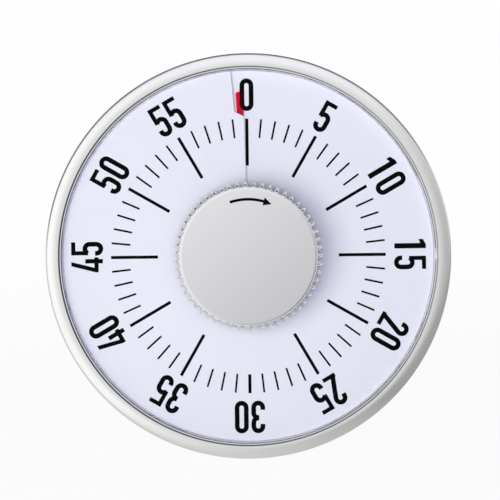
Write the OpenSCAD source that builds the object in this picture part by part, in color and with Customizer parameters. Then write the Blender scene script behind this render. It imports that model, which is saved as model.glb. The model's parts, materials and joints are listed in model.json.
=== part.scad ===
// Wind-up visual countdown timer, 60 minutes.
// Every piece is drawn in the case's own frame: x to the right, y up the dial, z out of the dial
// towards the user, with z = 0 on the back wall. leaned() then stands the timer up: it leans back
// on its folding leg, with the floor at z = 0 and the dial facing -y.

/* [Case] */
// Radius of the round case at its widest
case_r = 75; // [67.5:0.5:82.5]
// Width of the domed silver ring seen from the front
bezel_w = 5; // [4:0.5:6]
// How far the bezel's edge falls back from its inner rim
bezel_dome = 2.2; // [1.6:0.1:4.4]
// Fillet at the bezel's back edge, on which the timer stands
bezel_edge_r = 1; // [0.6:0.1:1.6]
// Thickness of the bezel's inner flange
flange_t = 2; // [1.6:0.1:2.6]
// How far the flange reaches inwards from the bezel's bore
flange_w = 3.5; // [3:0.1:4.5]
// Wall of the rear housing
wall = 2.2; // [1.8:0.1:2.8]
// Depth of the rear housing, from its back to the carrier plate
housing_depth = 22; // [20:0.5:27]
// Angle at which the timer leans back
lean = 12; // [8:1:15]

/* [Dial and lens] */
// Thickness of the carrier plate
carrier_t = 2; // [1.6:0.1:2.6]
// Height of the dial's low lip above the carrier plate
dial_lift = 3; // [2.6:0.1:4]
// Rise of the dial from one lip of its slit to the other
dial_rise = 1.6; // [1.3:0.1:2]
// Thickness of the dial sheet
dial_t = 0.3; // [0.2:0.05:0.4]
// Thickness of the red film
film_t = 0.2; // [0.1:0.05:0.3]
// Radius of the hole in the middle of the dial
dial_hole_r = 12.2; // [11.6:0.2:14]
// Angle of the slit near the knob, clockwise from the zero mark
slit_inner_a = -1.2; // [-1.4:0.1:-1.1]
// Angle of the slit near the rim
slit_outer_a = -4.9; // [-5.5:0.1:-4.3]
// Distance from the minute marks to the step in the slit
slit_step_out = 0.8; // [0.5:0.1:1]
// Radial length of the step
slit_step_l = 2; // [1.5:0.1:3]
// Free height between the dial's high lip and the lens
lens_gap = 1.9; // [1.6:0.1:3]
// Thickness of the clear lens
lens_t = 1.5; // [1.2:0.1:2]
// Width of the split ring that holds the lens
ring_w = 0.85; // [0.7:0.05:1]
// Thickness of that ring
ring_t = 1.1; // [0.9:0.1:1.4]
// Open gap in that ring
ring_gap = 4; // [3:0.5:8]

/* [Print] */
// Height of the numerals
digit_h = 12.1; // [10:0.1:12.5]
// Width of one digit
digit_w = 5.15; // [4.6:0.05:5.4]
// Stroke of the numerals
digit_stroke = 1.75; // [1.3:0.05:1.9]
// Free width between two digits
digit_gap = 1; // [0.7:0.05:1.3]
// Free width between the numerals and the dial's rim
digit_margin = 3.15; // [2.2:0.05:4]
// Free width between the minute marks and the numerals
mark_gap = 2.5; // [2.3:0.05:4]
// Length of a five-minute mark
mark_long = 17.4; // [12:0.1:18]
// Length of a one-minute mark
mark_short = 7; // [5:0.1:9]
// Width of a five-minute mark
mark_wide = 1.15; // [0.8:0.05:1.3]
// Width of a one-minute mark
mark_thin = 0.7; // [0.4:0.05:0.8]

/* [Knob] */
// Radius over the knurl
knob_r = 27.3; // [25:0.1:30]
// Number of grooves in the knurl
knurls = 55; // [40:1:60]
// Radius of a groove's floor, which is half the groove's width
knurl_r = 0.95; // [0.7:0.05:1]
// Depth of a groove
knurl_deep = 2; // [1.2:0.1:2.2]
// Height of the knob
knob_h = 14; // [12:0.5:18]
// Free height between the lens and the knob
knob_lift = 1.6; // [1.2:0.1:2.4]
// Thickness of the face plate
face_t = 1; // [0.8:0.1:1.4]
// Wall of the knob's skirt behind the grooves
knob_wall = 1; // [0.8:0.1:1.4]
// Radius of the arrow's arc
arrow_r = 20.8; // [18:0.1:21.2]

/* [Stand] */
// Angle between the folded and the open leg
stand_open = 32; // [30:1:36]
// Height of the hinge above the middle of the case
hinge_y = 8; // [4:1:12]
// Distance of the hinge pin behind the back wall
hinge_out = 3.5; // [3.4:0.1:4.5]
// Radius of the hinge pin
pin_r = 1.5; // [1.2:0.1:1.6]
// Thickness of the leg
leg_t = 3; // [2.4:0.1:3.4]
// Width of the leg at the hinge
leg_top_w = 34; // [28:1:40]
// Width of the leg at its foot
leg_foot_w = 66; // [56:1:72]

/* [Magnets] */
// Radius of a holding magnet
magnet_r = 7; // [5:0.5:7.5]
// Thickness of a magnet
magnet_t = 2.4; // [2:0.1:3]
// How far a magnet stands proud of the back wall
magnet_proud = 0.3; // [0.2:0.05:0.5]

/* [Movement] */
// Module of the main wheel and its pinion
module_a = 0.5; // [0.48:0.01:0.52]
// Module of the second wheel and its pinion
module_b = 0.45; // [0.43:0.01:0.47]
// Module of the third wheel and its pinion
module_c = 0.4; // [0.38:0.01:0.42]
// Radius of the main arbor
arbor_r = 2; // [1.8:0.1:2.2]
// Thickness of the movement plates
plate_t = 1; // [0.8:0.1:1.2]
// Radius of the movement plates
plate_r = 33; // [32:0.5:34]
// Radius of the bell
bell_r = 12.5; // [11:0.5:13]

/* [Fits] */
// Radial clearance of an arbor or pin in its bearing
run_fit = 0.05; // [0.03:0.01:0.08]
// Clearance between parts that are laid into each other
seat_fit = 0.2; // [0.15:0.05:0.25]

/* [Hidden] */
$fn = 96;

eps = 0.01;
thin_fn = 32;

// Radii of the case, from the outside in
bore_r = case_r - bezel_w;
flange_r = bore_r - flange_w;
housing_r = flange_r - seat_fit;
housing_edge_r = 3;
lens_r = bore_r - seat_fit;
ring_r = bore_r - 0.05;
seat_r = bore_r - 0.1;
seat_wall = 1.1;
dial_r = seat_r - seat_wall - 0.1;
seat_shelf = 0.6;
film_r = dial_r - seat_shelf - 0.3;

// Radii of the print and of the step in the slit, from the dial's rim inwards
digit_mid_r = dial_r - digit_margin - digit_h / 2;
mark_r = digit_mid_r - digit_h / 2 - mark_gap;
slit_step_r = mark_r + slit_step_out;
flat_short = 0.2;

// How far each numeral's middle lies off its mark, outwards and clockwise, from 0 to 55
nudges = [[0.35, 0], [-0.65, -0.6], [-0.3, 0.65], [0.55, 0], [0, -1.1], [-0.3, 0.5],
    [0.3, 0.1], [-0.45, 0.4], [0, 1.6], [0.35, 0.25], [-0.15, 1.05], [-0.05, 0.5]];

// Heights of the case, from the back forwards
bezel_back = housing_depth - flange_t;
carrier_top = housing_depth + carrier_t;
dial_z = carrier_top + dial_lift;
lens_z = dial_z + dial_rise + lens_gap;
ring_z = lens_z + lens_t;
bezel_front = ring_z + ring_t + 0.4;
knob_z = ring_z + knob_lift;
face_proud = 0.6;
face_fit = 0.05;
knurl_floor = knob_r - knurl_deep;
face_r = knurl_floor - 0.3;
skirt_in = knurl_floor - knob_wall;
face_z = knob_z + knob_h - face_t + face_proud;
knob_top = face_z + face_t;

// The knob, and how the main arbor drives it and the film's hub
knob_hub_r = 8;
knob_hub_z = knob_z - knob_lift - 0.6;
hub_r = dial_hole_r - 0.4;
lens_hole_r = knob_hub_r + 1.5;
rib_edge_r = knurl_floor + 0.55 * knurl_deep;
rib_edge_drop = 0.6 * knurl_deep;
key_w = 1.2;
key_out = 1.1;
key_fit = 0.1;
sleeve_r = arbor_r + 1.2;

// The case screws and the magnets
screw_r = 1.5;
screw_head_r = 2.8;
screw_head_t = 1.8;
boss_r = 3.6;
boss_at = housing_r - wall - boss_r - 0.8;
boss_angles = [60, 120, 228, 312];
magnet_inset = 7.9;
magnet_angles = [20, 160, 200, 340];
magnet_deep = magnet_t - magnet_proud;
magnet_seat = 1.2;
magnet_at = housing_r - wall - magnet_r - magnet_seat - magnet_inset;

// The leg, hinged on the back wall, and how the timer stands
ear_t = 4;
ear_gap = 0.4;
knuckle_r = 3.1;
leg_tilt = stand_open - lean;
rest_z = (case_r - bezel_edge_r) * cos(lean) - (bezel_back + bezel_edge_r) * sin(lean)
    + bezel_edge_r;
hinge_zw = rest_z + hinge_y * cos(lean) - hinge_out * sin(lean);
hinge_yw = hinge_y * sin(lean) + hinge_out * cos(lean);
leg_len = hinge_zw / cos(leg_tilt);
shoe = [15, 9, 6];
shoe_y = hinge_yw + hinge_zw * tan(leg_tilt);
leg_end = 3 - leg_len;
heel_t = 2.2;
heel_l = (hinge_out - 0.05 - heel_t / 2 * cos(stand_open)) / sin(stand_open);
front_y = -face_r * sin(lean) - knob_top * cos(lean);
back_y = shoe_y + shoe[1] / 2;
rest_y = -(front_y + back_y) / 2;

// The movement, between its two plates. Every stage of the train is 72 to 12. A tier is one share
// of the free height, in which the wheels are stacked.
wheel_teeth = 72;
pinion_teeth = 12;
play = 0.3;
barrel_deep = 5.5;
back_plate_z = wall + 0.8 + barrel_deep;
space_z = back_plate_z + plate_t;
front_plate_z = housing_depth - plate_t - 1;
tier = (front_plate_z - space_z) / 21;
bush_r = 2.2;
wheel_t = 2 * tier;
gear_tip = 0.95;
gear_root = 1.35;
gear_thin = 0.8;
leaf_thin = 0.74;
wheel_z = space_z + 16.2 * tier;
ratchet_z = wheel_z - wheel_t - 0.6 * tier;
second_z = space_z + 8.4 * tier;
third_z = space_z + 4.6 * tier;
escape_z = space_z + tier;
pinion_len = 3.8 * tier;
pinion_drop = 0.8 * tier;
second_from = 200;
second_at = gear_centre(module_a) * [cos(second_from), sin(second_from)];
third_from = -60;
third_at = second_at + gear_centre(module_b) * [cos(third_from), sin(third_from)];
escape_from = -10;
escape_at = third_at + gear_centre(module_c) * [cos(escape_from), sin(escape_from)];
escape_teeth = 15;
escape_r = 6;
pallet_from = 20;
pallet_dist = 9.6;
pallet_at = escape_at + pallet_dist * [cos(pallet_from), sin(pallet_from)];
fine_r = 0.8;
pivot_r = 0.6;
ratchet_teeth = 24;
ratchet_r = 7;
ratchet_deep = 1.1;
click_at = [9.6, 5.2];
click_tip = polar(ratchet_r - 0.5, 6.5);
cam_r = 5;
cam_drop = 1.2;
hammer_gap = 0.8;
hammer_at = polar(module_a * (wheel_teeth / 2 + gear_tip) + fine_r + hammer_gap, 40.6);
bell_from = 48;
bell_aside = boss_angles[0] - bell_from;
bell_gap = 0.76;
bell_out = boss_at * cos(bell_aside)
    - sqrt(pow(bell_r + boss_r + bell_gap, 2) - pow(boss_at * sin(bell_aside), 2));
bell_at = polar(bell_out, bell_from);
bell_t = 0.8;
bell_h = 6.5;
bell_z = space_z + 0.6;
head_r = 2.2;
head_gap = 0.9;
strike_r = bell_r + head_r + head_gap;
to_bell = bell_at - hammer_at;
arm_len = sqrt(pow(norm(to_bell), 2) - pow(strike_r, 2));
arm_a = atan2(to_bell[1], to_bell[0]) - asin(strike_r / norm(to_bell));
hammer_z = space_z + 0.7;
hammer_t = 1.2;
pillar_in = 3.5;
pillar_at = plate_r - pillar_in;
pillar_angles = [5, 85, 150, 325];
pillar_r = 2;
pillar_screw_r = 1.2;
foot_at = plate_r - 2.6;
foot_angles = [45, 115, 180];
post_r = 2.2;
spring_turns = 6;
spring_in = arbor_r + 1.8;
spring_t = 0.35;
barrel_r = 16;
wall_thin = 0.8;
click_pin_r = 0.7;
bush_small_r = 1.3;
hammer_drop_a = atan2(hammer_at[1], hammer_at[0]) + 5;

// Phases of the meshing wheels, in degrees
second_pinion_a = mesh_phase(second_from, wheel_teeth, 0, pinion_teeth);
third_pinion_a = mesh_phase(third_from, wheel_teeth, third_from, pinion_teeth);
escape_pinion_a = mesh_phase(escape_from, wheel_teeth, escape_from, pinion_teeth);

// Distance between a wheel and the pinion that it drives
function gear_centre(m) = m * (wheel_teeth + pinion_teeth) / 2;

// Turn of a follower with n2 teeth so that its gap meets the tooth of a wheel at angle beta
function mesh_phase(beta, n1, phi1, n2) = beta + 180 + 180 / n2 + (beta - phi1) * n1 / n2;

// Half the angle that a straight-sided tooth takes at radius r
function tooth_half(r, pitch_r, m, thin) =
    (PI * m / 4 * thin - (r - pitch_r) * tan(20)) / r * 180 / PI;

// Outline of a wheel: root, tip, tip, root for each tooth
function wheel_outline(n, m) =
    let (rp = n * m / 2, ri = rp - gear_root * m, ro = rp + gear_tip * m,
         wi = tooth_half(ri, rp, m, gear_thin), wo = tooth_half(ro, rp, m, gear_thin))
    [for (i = [0:n - 1]) let (a = 360 * i / n)
        each [polar(ri, a - wi), polar(ro, a - wo), polar(ro, a + wo), polar(ri, a + wi)]];

// Outline of a pinion: radial flanks below the pitch circle, tapering leaves above it
function pinion_outline(n, m) =
    let (rp = n * m / 2, ri = rp - gear_root * m, ro = rp + 0.8 * m,
         wp = 90 / n * leaf_thin, wo = wp * 0.5)
    [for (i = [0:n - 1]) let (a = 360 * i / n)
        each [polar(ri, a - wp * 0.8), polar(rp, a - wp), polar(ro, a - wo),
              polar(ro, a + wo), polar(rp, a + wp), polar(ri, a + wp * 0.8)]];

// Saw teeth that point counter-clockwise, as on a ratchet or escape wheel
function saw_outline(n, ro, ri) =
    [for (i = [0:n - 1]) let (a = 360 * i / n)
        each [polar(ro, a), polar(ro, a + 24 / n), polar(ri, a + 60 / n), polar(ri, a + 300 / n)]];

function polar(r, a) = [r * cos(a), r * sin(a)];

// A point at a clockwise angle from the top of the dial
function clock(r, a) = [r * sin(a), r * cos(a)];

function arc(c, r, a0, a1, n) =
    [for (i = [0:n]) let (a = a0 + (a1 - a0) * i / n) c + polar(r, a)];

// The two sides of a band of width w along a path
function unit(v) = v / norm(v);
function along(p, i) = let (n = len(p) - 1) unit(p[min(i + 1, n)] - p[max(i - 1, 0)]);
function side(p, i, d) = let (t = along(p, i)) p[i] + d * [-t[1], t[0]];
function band(p, w) = concat(
    [for (i = [0:len(p) - 1]) side(p, i, -w / 2)],
    [for (i = [len(p) - 1:-1:0]) side(p, i, w / 2)]);

// The slit's clockwise angle at radius r
function slit_a(r) = slit_outer_a + (slit_inner_a - slit_outer_a)
    * min(1, max(0, (slit_step_r + slit_step_l - r) / slit_step_l));

// Height of the dial's middle surface at radius r and clockwise angle a, at or past the slit
function dial_at(r, a) = dial_z + dial_rise * (a - slit_a(r)) / 360;

// Stands the timer up on the floor, leaning back
module leaned() {
    translate([0, rest_y, rest_z]) rotate([90 - lean, 0, 0]) children();
}

// The leg's own frame: the hinge pin along x, the leg down -z, as far open as it goes
module leg_frame() {
    translate([0, rest_y + hinge_yw, hinge_zw]) rotate([leg_tilt, 0, 0]) children();
}

// A sheet on a screw surface. Ring j has radius rr[j] and runs clockwise from `from` to to[j],
// both measured from the slit; dz lifts its middle surface off the dial's. With a floor_z its
// underside is flat at that height, which makes it a ramp.
module screw_sheet(rr, from, to, dz, t, n, floor_z = undef) {
    m = len(rr);
    pts = [for (s = [-1, 1]) for (i = [0:n]) for (j = [0:m - 1])
        let (w = from + (to[j] - from) * i / n, p = clock(rr[j], slit_a(rr[j]) + w),
             z = dial_z + dial_rise * w / 360 + dz + s * t / 2)
        [p[0], p[1], s < 0 && !is_undef(floor_z) ? floor_z : z]];
    function id(s, i, j) = (s * (n + 1) + i) * m + j;
    faces = concat(
        [for (i = [0:n - 1]) for (j = [0:m - 2])
            each [[id(0, i, j), id(0, i + 1, j), id(0, i + 1, j + 1)],
                  [id(0, i, j), id(0, i + 1, j + 1), id(0, i, j + 1)],
                  [id(1, i, j), id(1, i + 1, j + 1), id(1, i + 1, j)],
                  [id(1, i, j), id(1, i, j + 1), id(1, i + 1, j + 1)]]],
        [for (i = [0:n - 1])
            each [[id(0, i, 0), id(1, i, 0), id(1, i + 1, 0)],
                  [id(0, i, 0), id(1, i + 1, 0), id(0, i + 1, 0)],
                  [id(0, i, m - 1), id(1, i + 1, m - 1), id(1, i, m - 1)],
                  [id(0, i, m - 1), id(0, i + 1, m - 1), id(1, i + 1, m - 1)]]],
        [for (j = [0:m - 2])
            each [[id(0, 0, j), id(0, 0, j + 1), id(1, 0, j + 1)],
                  [id(0, 0, j), id(1, 0, j + 1), id(1, 0, j)],
                  [id(0, n, j), id(1, n, j + 1), id(0, n, j + 1)],
                  [id(0, n, j), id(1, n, j), id(1, n, j + 1)]]]);
    polyhedron(pts, faces);
}

// A ring with a square section
module ring(r_out, r_in, h) {
    difference() {
        cylinder(r = r_out, h = h);
        translate([0, 0, -1]) cylinder(r = r_in, h = h + 2);
    }
}

module at_polar(r, a, z = 0) {
    p = polar(r, a);
    translate([p[0], p[1], z]) children();
}

// A slotted screw with its head at z = 0, shank pointing to +z
module slotted_screw(r, l, head_r, head_t) {
    difference() {
        translate([0, 0, -head_t]) cylinder(r = head_r, h = head_t);
        translate([-head_r, -0.3, -head_t - 1]) cube([2 * head_r, 0.6, 1.6]);
    }
    translate([0, 0, -eps]) cylinder(r = r, h = l + eps);
}

// ---- Case ----

// Silver ring: domed in front, with a flange inside that carries the carrier plate
module bezel() {
    e = bezel_edge_r;
    dome = [for (i = [0:12]) let (a = 90 * i / 12)
        [bore_r + 0.5 + (bezel_w - 0.5) * sin(a), bezel_front - bezel_dome * (1 - cos(a))]];
    edge = [for (i = [0:6]) let (a = 90 * i / 6)
        [case_r - e + e * cos(a), bezel_back + e - e * sin(a)]];
    color("silver") rotate_extrude($fn = 180) polygon(concat(
        [[bore_r, bezel_front - 0.25], [bore_r + 0.25, bezel_front]], dome, edge,
        [[flange_r, bezel_back], [flange_r, housing_depth], [bore_r, housing_depth]]));
}

// Split wire ring, sprung into the bezel's bore on top of the lens
module lens_retaining_ring() {
    half = asin(ring_gap / 2 / ring_r);
    color("gainsboro") translate([0, 0, ring_z]) rotate([0, 0, half])
        rotate_extrude(angle = 360 - 2 * half, $fn = 180)
            translate([ring_r - ring_w, 0]) square([ring_w, ring_t]);
}

module lens() {
    color("azure", 0.3) translate([0, 0, lens_z]) ring(lens_r, lens_hole_r, lens_t);
}

// White ring round the dial, which holds the lens off it
module dial_seat_ring() {
    color("white") translate([0, 0, carrier_top])
        ring(seat_r, seat_r - seat_wall, lens_z - carrier_top);
}

// Low ramp inside that ring: its top rises like a screw and carries the dial's edge
module dial_ramp() {
    low = -(dial_t / 2 + 0.02);
    r_out = seat_r - seat_wall - 0.02;
    color("white") screw_sheet([dial_r - seat_shelf, r_out], 0.3, [359.7, 359.7], low, 0, 120,
        carrier_top);
}

// White sheet, cut once from rim to middle, rising clockwise from one lip to the other
module dial() {
    color("white") screw_sheet(
        [dial_hole_r, slit_step_r, slit_step_r + slit_step_l, dial_r], 0, [360, 360, 360, 360], 0,
        dial_t, 120);
}

// Places print on the dial at a clockwise angle
module printed(a, r) {
    p = clock(r, a);
    b = a < slit_a(r) ? a + 360 : a;
    translate([p[0], p[1], dial_at(r, b) + dial_t / 2 - 0.04]) rotate([0, 0, -a])
        linear_extrude(0.1) children();
}

// A ring with two round ends
module loop_shape(w, h) {
    r = w / 2;
    polygon(concat(arc([0, h / 2 - r], r, 0, 180, 12), arc([0, r - h / 2], r, 180, 360, 12)));
}

// One digit, centred, drawn on a narrow upright grid
module digit(d) {
    s = digit_stroke;
    bar = 0.88 * s;
    half = digit_w / 2;
    flat = digit_h / 2 - flat_short;
    x = (digit_w - s) / 2;
    y = (digit_h - s) / 2;
    top = [0, y - x];
    low = [0, x - y];
    waist = 0.3;
    if (d == 0) difference() {
        loop_shape(digit_w, digit_h);
        loop_shape(digit_w - 2 * s, digit_h - 2 * s);
    }
    if (d == 1) polygon([[-0.55 * s, -flat], [0.55 * s, -flat], [0.55 * s, flat], [-0.5, flat],
        [0.1 - half, flat - 1.1], [0.1 - half, flat - 2.7], [-0.55 * s, flat - 2.1]]);
    if (d == 2) {
        polygon(band(concat([[-x, y - x - 0.85]], arc(top, x, 180, -20, 12),
            [[-x + 0.1, -flat + bar / 2]]), s));
        translate([-half, -flat]) square([digit_w, bar]);
    }
    if (d == 3) {
        polygon(band(concat([[-x, y - x - 0.85]], arc(top, x, 180, 0, 12),
            arc([0, x + 0.1 + waist], x, 0, -90, 6), [[-0.35, 0.1 + waist]]), s));
        polygon(band(concat([[-0.35, waist - 0.1]], arc([0, waist - 0.1 - x], x, 90, 0, 6),
            arc(low, x, 0, -180, 12), [[-x, 0.85 + x - y]]), s));
    }
    if (d == 4) translate([-half, -flat]) {
        polygon([[2.3, 2 * flat], [3.9, 2 * flat], [1.7, 1.6 + bar], [1.7, 1.6], [0, 1.6], [0, 2.7]]);
        translate([0, 1.6]) square([digit_w + 0.4, bar]);
        translate([3.3, 0]) square([1.05 * bar, 6.5]);
    }
    if (d == 5) {
        translate([0.2 - half, flat - bar]) square([digit_w - 0.3, bar]);
        translate([0.2 - half, -0.45]) square([bar, flat + 0.45]);
        polygon(band(concat([[-x, -0.1]], arc([0, -0.93], x, 130, 0, 8),
            arc(low, x, 0, -180, 12), [[-x, 0.48 + x - y]]), s));
    }
}

module dial_numerals() {
    pitch = digit_w + digit_gap;
    color("black") for (m = [0:5:55]) {
        off = nudges[m / 5];
        printed(6 * m, digit_mid_r) translate([off[1], off[0]]) {
            if (m < 10) digit(m);
            else {
                translate([-pitch / 2, 0]) digit(floor(m / 10));
                translate([pitch / 2, 0]) digit(m % 10);
            }
        }
    }
}

// Sixty marks: one a minute, longer and wider every five minutes, short again at thirty
module minute_marks() {
    color("black") for (m = [0:59]) {
        wide = m % 5 == 0;
        l = wide && m != 30 ? mark_long : mark_short;
        w = wide ? mark_wide : mark_thin;
        printed(6 * m, mark_r - l / 2) square([w, l], center = true);
    }
}

// Plate across the case, under the dial, to which the movement and the bell are fixed
module carrier_plate() {
    color("lightgray") translate([0, 0, housing_depth]) difference() {
        cylinder(r = lens_r, h = carrier_t, $fn = 180);
        translate([0, 0, -1]) {
            cylinder(r = sleeve_r + 2.3, h = carrier_t + 2);
            for (a = boss_angles) at_polar(boss_at, a) cylinder(r = screw_r, h = carrier_t + 2);
            for (a = foot_angles) at_polar(foot_at, a)
                cylinder(r = pillar_screw_r, h = carrier_t + 2);
            translate(bell_at) cylinder(r = pillar_screw_r, h = carrier_t + 2);
        }
    }
}

// Rear shell: a shallow cup with screw bosses, magnet cups and the ears of the leg's hinge
module rear_housing() {
    e = housing_edge_r;
    r = housing_r;
    corner = [for (i = [0:6]) let (a = 90 * i / 6) [r - e + e * sin(a), e - e * cos(a)]];
    inner = [for (i = [6:-1:0]) let (a = 90 * i / 6, k = e - wall / 2)
        [r - wall - k + k * sin(a), wall + k - k * cos(a)]];
    color("whitesmoke") difference() {
        union() {
            rotate_extrude($fn = 180) polygon(concat([[0, 0]], corner,
                [[r, housing_depth], [r - wall, housing_depth]], inner, [[0, wall]]));
            for (a = boss_angles) at_polar(boss_at, a, wall - eps)
                cylinder(r = boss_r, h = housing_depth - wall + eps);
            for (a = magnet_angles) at_polar(magnet_at, a, wall - eps)
                cylinder(r = magnet_r + magnet_seat, h = magnet_deep - wall + magnet_seat + eps);
            for (s = [-1, 1]) translate([s * (leg_top_w / 2 + ear_gap + ear_t / 2), hinge_y, 0])
                hinge_ear();
        }
        for (a = boss_angles) at_polar(boss_at, a, -1) {
            cylinder(r = screw_r, h = housing_depth + 2);
            cylinder(r = screw_head_r + 0.2, h = screw_head_t + 1.2);
        }
        for (a = magnet_angles) at_polar(magnet_at, a, -1)
            cylinder(r = magnet_r, h = magnet_deep + 1);
        translate([-leg_top_w, hinge_y, -hinge_out]) rotate([0, 90, 0])
            cylinder(r = pin_r, h = 2 * leg_top_w);
    }
}

// One ear of the hinge, with its pin hole on the hinge line
module hinge_ear() {
    translate([-ear_t / 2, 0, 0]) rotate([0, 90, 0]) linear_extrude(ear_t)
        hull() {
            translate([hinge_out, 0]) circle(r = knuckle_r + 0.6);
            translate([-0.5, -6]) square([1, 12]);
        }
}

module case_screws() {
    color("gray") for (a = boss_angles) at_polar(boss_at, a, screw_head_t + 0.2)
        slotted_screw(screw_r, housing_depth + carrier_t - screw_head_t - 0.2, screw_head_r,
            screw_head_t);
}

module magnets() {
    color("dimgray") for (a = magnet_angles) at_polar(magnet_at, a, -magnet_proud)
        cylinder(r = magnet_r, h = magnet_t);
}

// ---- Knob ----

// Profile of the front end of the main arbor: round with one flat
module arbor_section(r) {
    intersection() {
        circle(r = r);
        translate([-r, -r]) square([2 * r, 1.7 * r]);
    }
}

// Hollow knob: the skirt's ribs end in a chamfer and a steep shoulder; a hub grips the arbor's flat
module knob_body() {
    z1 = knob_z + knob_h;
    edge_z = z1 - rib_edge_drop;
    web = face_z - 1.6;
    color("silver") difference() {
        rotate_extrude($fn = 2 * knurls) polygon([[arbor_r, knob_hub_z],
            [knob_hub_r, knob_hub_z], [knob_hub_r, web], [skirt_in - 1, web],
            [skirt_in, web - 1], [skirt_in, knob_z], [knob_r, knob_z], [knob_r, edge_z - 2.6],
            [knob_r - 0.15, edge_z - 1.6], [rib_edge_r, edge_z], [knurl_floor, z1],
            [face_r + face_fit, z1], [face_r + face_fit, face_z], [arbor_r, face_z]]);
        for (i = [0:knurls - 1]) rotate([0, 0, 360 * (i + 0.5) / knurls])
            translate([knurl_floor + knurl_r, 0, knob_z - 1]) {
                cylinder(r = knurl_r, h = knob_h + 2, $fn = thin_fn);
                translate([0, -knurl_r, 0]) cube([knurl_deep, 2 * knurl_r, knob_h + 2]);
            }
    }
    color("silver") translate([0, 0, knob_hub_z]) linear_extrude(face_z - knob_hub_z)
        difference() {
            circle(r = arbor_r + 0.4);
            arbor_section(arbor_r + 0.02);
        }
}

// Thin turned plate let into the top of the knob, with a bevelled rim
module knob_face() {
    color("gainsboro") rotate_extrude($fn = 180) polygon([[0, face_z], [face_r, face_z],
        [face_r, knob_top - 0.4], [face_r - 0.55, knob_top], [0, knob_top]]);
}

// Curved arrow printed on the face: turn clockwise to set
module knob_arrow() {
    start = -18.2;
    neck = 16.4;
    tip = 24.6;
    head = 1.5;
    line = [for (i = [0:12]) clock(arrow_r, start + (neck - start) * i / 12)];
    color("black") translate([0, 0, knob_top - 0.02]) linear_extrude(0.08) {
        polygon(band(line, 1));
        polygon([clock(arrow_r + head, neck - 0.1), clock(arrow_r, tip),
            clock(arrow_r - head, neck - 0.1)]);
    }
}

// ---- Countdown disc ----

// Hub of the red disc: turns with the arbor's key and may slide along it
module disc_hub() {
    slot = key_w + 2 * key_fit;
    low = dial_z - dial_rise / 2 - 0.4;
    color("red") difference() {
        translate([0, 0, low]) cylinder(r = hub_r, h = dial_rise + 0.8);
        translate([0, 0, low - 1]) {
            cylinder(r = arbor_r + run_fit, h = dial_rise + 3);
            translate([-slot / 2, 0, 0]) cube([slot, arbor_r + key_out + 2 * key_fit, dial_rise + 3]);
        }
    }
}

// Thin red film, one turn of a screw. At rest it lies under the dial, just behind the slit;
// turning the knob brings it out through the slit.
module red_disc() {
    inner_lead = -0.5;
    outer_lead = -1.3;
    color("crimson") screw_sheet([hub_r, slit_step_r, slit_step_r + slit_step_l, film_r], -357,
        [inner_lead, inner_lead, outer_lead, outer_lead], dial_rise / 2, film_t, 120);
}

// Tab on the film's leading edge. It leans out of the step in the slit, so it shows the disc at
// zero, and it is the pointer of the countdown.
module disc_tab() {
    left_a = -3.9;
    right_a = -0.9;
    tip_r = slit_step_r + 9.3;
    root_r = slit_step_r - 2.2;
    corner = 1;
    tip = clock(tip_r - corner, left_a) + [corner, 0];
    z = dial_z + dial_rise / 2 + film_t / 2 + 0.02;
    color("crimson") translate([0, 0, z]) linear_extrude(film_t) polygon(concat(
        [clock(root_r, -4.2), clock(slit_step_r + 1.6, -4.2), clock(slit_step_r + 2.3, left_a)],
        arc(tip, corner, 180, 94, 6),
        [clock(tip_r, right_a), clock(slit_step_r, slit_inner_a - 0.05),
         clock(root_r, slit_inner_a - 0.5)]));
}

// ---- Movement ----

// Steel arbor through the whole timer: pivots in both plates, a key for the disc's hub and a flat
// for the knob
module main_arbor() {
    low = wall + 0.4;
    key_h = dial_rise * 2.2 + 1.2;
    color("lightsteelblue") {
        translate([0, 0, low]) cylinder(r = arbor_r, h = knob_hub_z - low);
        translate([0, 0, knob_hub_z - eps]) linear_extrude(face_z - knob_hub_z)
            arbor_section(arbor_r);
        translate([0, 0, space_z + play])
            ring(sleeve_r, arbor_r, front_plate_z - space_z - 2 * play);
        translate([-key_w / 2, 0, dial_z - dial_rise / 2 - 0.6])
            cube([key_w, arbor_r + key_out, key_h]);
    }
}

// A brass wheel with five windows between its arms
module train_wheel(n, m, hub, bore) {
    rp = n * m / 2;
    color("gold") linear_extrude(wheel_t) difference() {
        polygon(wheel_outline(n, m));
        circle(r = bore);
        for (i = [0:4]) rotate([0, 0, 72 * i + 36]) translate([(hub + rp - 2) / 2 + 0.6, 0])
            circle(r = (rp - 2 - hub) / 2 - 0.8);
    }
}

// A steel pinion
module train_pinion(m, h, bore) {
    color("slategray") linear_extrude(h) difference() {
        polygon(pinion_outline(pinion_teeth, m));
        circle(r = bore);
    }
}

// A thin arbor with finer pivots at both plates
module fine_arbor(at) {
    color("slategray") translate(at) {
        translate([0, 0, space_z + play])
            cylinder(r = fine_r, h = front_plate_z - space_z - 2 * play);
        translate([0, 0, back_plate_z])
            cylinder(r = pivot_r, h = front_plate_z + plate_t - back_plate_z);
    }
}

// Wheel on the main arbor that drives the train, and its ratchet wheel
module main_wheel() {
    translate([0, 0, wheel_z - wheel_t]) train_wheel(wheel_teeth, module_a, 4, sleeve_r);
}

module ratchet_wheel() {
    color("slategray") translate([0, 0, ratchet_z - wheel_t]) linear_extrude(wheel_t)
        difference() {
            polygon(saw_outline(ratchet_teeth, ratchet_r, ratchet_r - ratchet_deep));
            circle(r = sleeve_r);
        }
}

// Click: a small pawl on the main wheel that drops between the ratchet's teeth
module click_pawl() {
    color("slategray") translate([0, 0, ratchet_z - wheel_t]) linear_extrude(wheel_t)
        difference() {
            union() {
                translate(click_at) circle(r = 1.5);
                hull() {
                    translate(click_at) circle(r = 0.8, $fn = thin_fn);
                    translate(click_tip) circle(r = 0.2, $fn = thin_fn);
                }
            }
            translate(click_at) circle(r = click_pin_r + run_fit);
        }
}

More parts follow.
